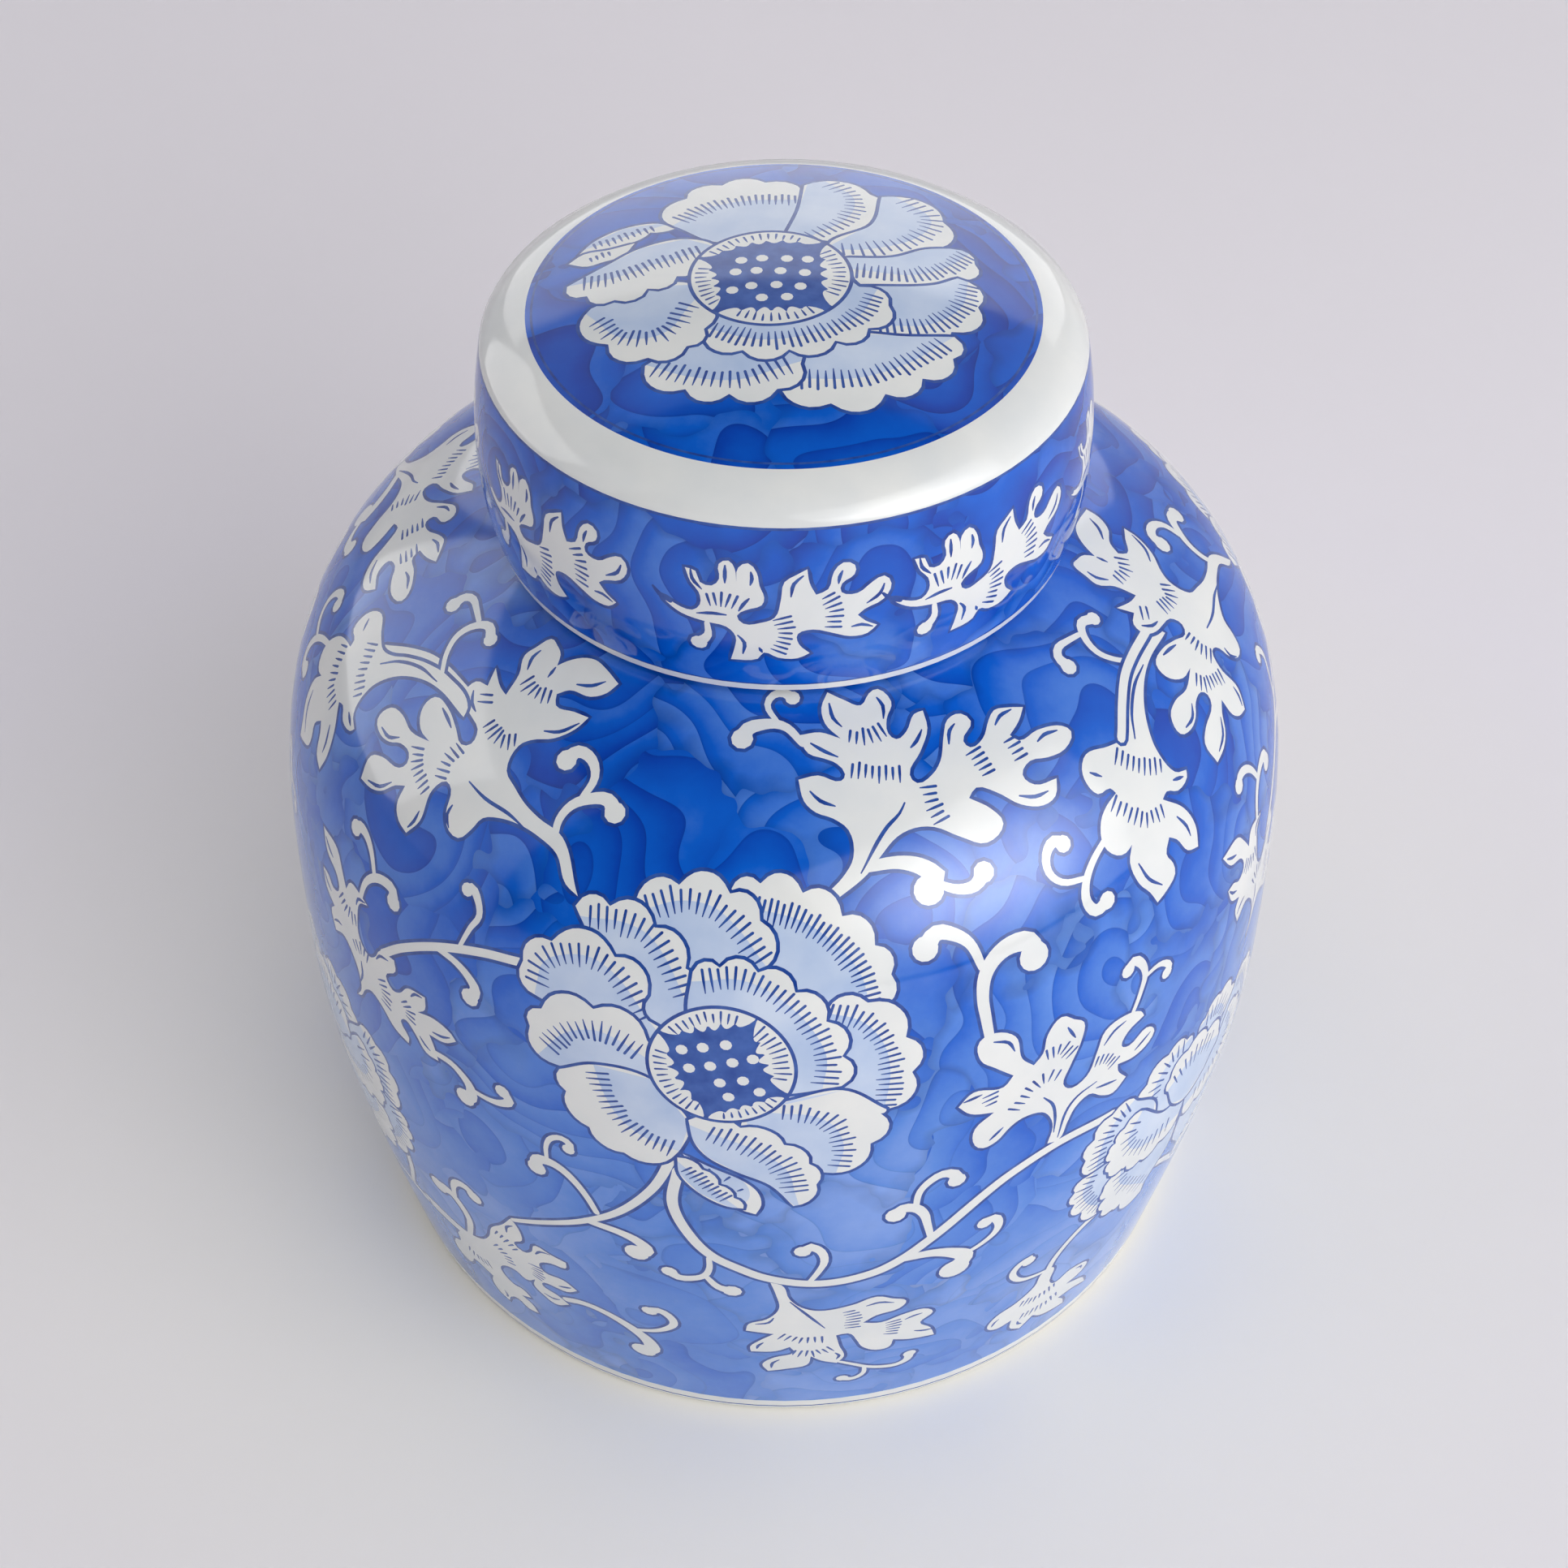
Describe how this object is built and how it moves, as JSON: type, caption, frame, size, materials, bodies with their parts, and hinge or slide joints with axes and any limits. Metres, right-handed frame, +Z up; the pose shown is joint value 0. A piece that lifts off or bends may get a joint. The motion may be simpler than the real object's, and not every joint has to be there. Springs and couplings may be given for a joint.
{
  "type": "ginger jar",
  "caption": "Broad-shouldered round porcelain jar with a short hidden neck and a lift-off domed cap lid, painted in blue and white.",
  "frame": {"origin": "centre of the foot ring, on the surface that the jar stands on", "axes": "+Z up along the jar's axis of turning; -Y towards the side with the large peony"},
  "size_m": [0.2278, 0.2278, 0.2537],
  "materials": {
    "body_porcelain": "gloss",
    "lid_porcelain": "gloss"
  },
  "bodies": {
    "jar": {"jar_body": "body_porcelain"},
    "lid": {"lid": "lid_porcelain"}
  },
  "joints": [
    {"name": "lid_lift", "type": "slide", "parent": "jar", "child": "lid", "axis": [0, 0, 1], "range_m": [0, 0.12]}
  ]
}
